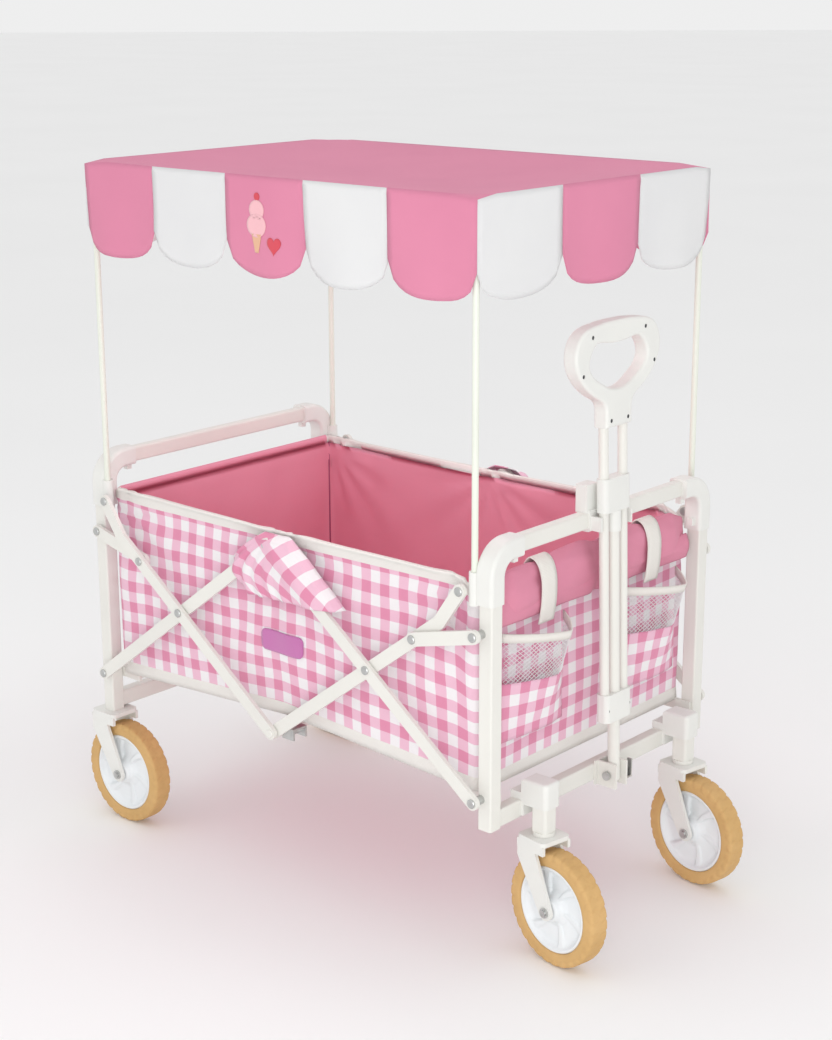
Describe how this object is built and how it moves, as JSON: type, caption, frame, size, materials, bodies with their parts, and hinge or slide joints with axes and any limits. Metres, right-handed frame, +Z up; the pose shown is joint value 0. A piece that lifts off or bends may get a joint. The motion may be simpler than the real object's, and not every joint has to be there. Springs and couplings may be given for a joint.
{
  "type": "folding wagon with pull handle",
  "caption": "Folding fabric tub wagon on a scissor frame, with fixed rear wheels, front casters, a telescopic tilting pull handle and a flat canopy with a scalloped valance.",
  "frame": {"origin": "on the ground under the middle of the whole wagon's box", "axes": "+X towards the pull handle, +Z up, symmetric about Y = 0 apart from the turned casters"},
  "size_m": [1.0702, 0.605, 1.15],
  "materials": {
    "frame": "satin powder coat",
    "white_plastic": "moulded, satin",
    "tyre": "matte foam rubber",
    "zinc": "zinc plated",
    "dark_screw": "black oxide",
    "pole": "satin",
    "canopy_fabric": "plain woven polyester",
    "gingham": "woven gingham",
    "lining": "plain woven polyester"
  },
  "bodies": {
    "rear_frame": {"rear_posts": "frame", "rear_top_rail": "frame", "rear_lower_rail": "frame", "rear_elbows": "white_plastic", "rear_forks": "white_plastic", "rear_axles": "zinc", "rear_rivets": "zinc", "bag_rear_panel": "lining", "bag_side_near": "gingham", "bag_side_far": "gingham", "bag_floor_gusset": "lining"},
    "links_b": {"scissor_links_b": "frame", "link_b_rivets": "zinc"},
    "links_a": {"scissor_links_a": "frame", "cross_tube": "frame", "link_a_rivets": "zinc"},
    "links_c": {"scissor_links_c": "frame", "link_c_rivets": "zinc"},
    "links_d": {"scissor_links_d": "frame", "link_d_brackets": "zinc"},
    "front_frame": {"front_posts": "frame", "front_top_rail": "frame", "front_lower_rail": "frame", "front_elbows": "white_plastic", "caster_housings": "white_plastic", "caster_stems": "frame", "handle_bracket": "frame", "handle_holder": "white_plastic", "front_hardware": "zinc", "bag_front_panel": "gingham", "bag_front_roll": "lining"},
    "short_links_rear_pair": {"short_links_rear": "frame"},
    "short_links_front_pair": {"short_links_front": "frame", "short_link_rivets": "zinc"},
    "floor_half_rear": {"floor_arms_rear": "frame", "floor_board_rear": "lining"},
    "floor_half_front": {"floor_arms_front": "frame", "floor_board_front": "lining"},
    "caster_near": {"fork_front_near": "white_plastic", "axle_front_near": "zinc"},
    "caster_far": {"fork_front_far": "white_plastic", "axle_front_far": "zinc"},
    "wheel_front_near": {"tyre_front_near": "tyre", "rim_front_near": "white_plastic"},
    "wheel_front_far": {"tyre_front_far": "tyre", "rim_front_far": "white_plastic"},
    "wheel_rear_near": {"tyre_rear_near": "tyre", "rim_rear_near": "white_plastic"},
    "wheel_rear_far": {"tyre_rear_far": "tyre", "rim_rear_far": "white_plastic"},
    "handle_lower": {"handle_stem": "frame", "handle_sleeve": "white_plastic"},
    "handle_upper": {"handle_tubes": "frame", "handle_slider": "white_plastic", "grip_front_shell": "white_plastic", "grip_rear_shell": "white_plastic", "handle_screws": "dark_screw"},
    "canopy_rear": {"canopy_poles_rear": "pole", "canopy_cloth": "canopy_fabric"},
    "canopy_front": {"canopy_poles_front": "pole"}
  },
  "joints": [
    {"name": "fold", "type": "hinge", "parent": "rear_frame", "child": "links_b", "pos_m": [-0.4731, 0, 0.271], "axis": [0, -1, 0], "range_deg": [0, 43.14], "deforming": ["bag_side_near", "bag_side_far", "bag_floor_gusset", "canopy_cloth"]},
    {"name": "scissor_a", "type": "hinge", "parent": "links_b", "child": "links_a", "pos_m": [-0.2636, 0, 0.428], "axis": [0, -1, 0], "range_deg": [-86.29, 0]},
    {"name": "scissor_c", "type": "hinge", "parent": "links_b", "child": "links_c", "pos_m": [-0.0541, 0, 0.585], "axis": [0, -1, 0], "range_deg": [-86.29, 0]},
    {"name": "scissor_d", "type": "hinge", "parent": "links_c", "child": "links_d", "pos_m": [0.1554, 0, 0.428], "axis": [0, -1, 0], "range_deg": [0, 86.29]},
    {"name": "front_upright", "type": "hinge", "parent": "links_c", "child": "front_frame", "pos_m": [0.3649, 0, 0.271], "axis": [0, -1, 0], "range_deg": [0, 43.15]},
    {"name": "short_rear", "type": "hinge", "parent": "rear_frame", "child": "short_links_rear_pair", "pos_m": [-0.4731, 0, 0.527], "axis": [0, -1, 0], "range_deg": [0, 91.84]},
    {"name": "short_front", "type": "hinge", "parent": "front_frame", "child": "short_links_front_pair", "pos_m": [0.3649, 0, 0.527], "axis": [0, -1, 0], "range_deg": [-91.84, 0]},
    {"name": "floor_rear", "type": "hinge", "parent": "rear_frame", "child": "floor_half_rear", "pos_m": [-0.4301, 0, 0.266], "axis": [0, -1, 0], "range_deg": [0, 84.56]},
    {"name": "floor_front", "type": "hinge", "parent": "front_frame", "child": "floor_half_front", "pos_m": [0.3219, 0, 0.266], "axis": [0, -1, 0], "range_deg": [-84.56, 0]},
    {"name": "swivel_near", "type": "hinge", "parent": "front_frame", "child": "caster_near", "pos_m": [0.4109, -0.185, 0.198], "axis": [0, 0, 1], "continuous": true},
    {"name": "spin_front_near", "type": "hinge", "parent": "caster_near", "child": "wheel_front_near", "pos_m": [0.44448, -0.19032, 0.09], "axis": [0.1564, 0.9877, 0], "continuous": true},
    {"name": "spin_rear_near", "type": "hinge", "parent": "rear_frame", "child": "wheel_rear_near", "pos_m": [-0.4451, -0.265, 0.09], "axis": [0, 1, 0], "continuous": true},
    {"name": "swivel_far", "type": "hinge", "parent": "front_frame", "child": "caster_far", "pos_m": [0.4109, 0.185, 0.198], "axis": [0, 0, 1], "continuous": true},
    {"name": "spin_front_far", "type": "hinge", "parent": "caster_far", "child": "wheel_front_far", "pos_m": [0.44448, 0.17968, 0.09], "axis": [0.1564, 0.9877, 0], "continuous": true},
    {"name": "spin_rear_far", "type": "hinge", "parent": "rear_frame", "child": "wheel_rear_far", "pos_m": [-0.4451, 0.265, 0.09], "axis": [0, 1, 0], "continuous": true},
    {"name": "handle_tilt", "type": "hinge", "parent": "front_frame", "child": "handle_lower", "pos_m": [0.4049, 0, 0.236], "axis": [0, 1, 0], "range_deg": [0, 95]},
    {"name": "handle_slide", "type": "slide", "parent": "handle_lower", "child": "handle_upper", "axis": [-0.0314, 0, 0.9995], "range_m": [-0.06, 0.25]},
    {"name": "canopy_lift", "type": "slide", "parent": "rear_frame", "child": "canopy_rear", "axis": [0, 0, 1], "range_m": [0, 0.04]},
    {"name": "canopy_lift_front", "type": "slide", "parent": "front_frame", "child": "canopy_front", "axis": [0, 0, 1], "range_m": [0, 0.04]}
  ],
  "couplings": [
    {"joint": "scissor_a", "follows": "fold", "ratio": -2},
    {"joint": "scissor_c", "follows": "fold", "ratio": -2},
    {"joint": "scissor_d", "follows": "fold", "ratio": 2},
    {"joint": "front_upright", "follows": "fold", "ratio": 1},
    {"joint": "short_rear", "follows": "fold", "ratio": 2.1287},
    {"joint": "short_front", "follows": "fold", "ratio": -2.1287},
    {"joint": "floor_rear", "follows": "fold", "ratio": 1.96},
    {"joint": "floor_front", "follows": "fold", "ratio": -1.96},
    {"joint": "canopy_lift_front", "follows": "canopy_lift", "ratio": 1}
  ]
}
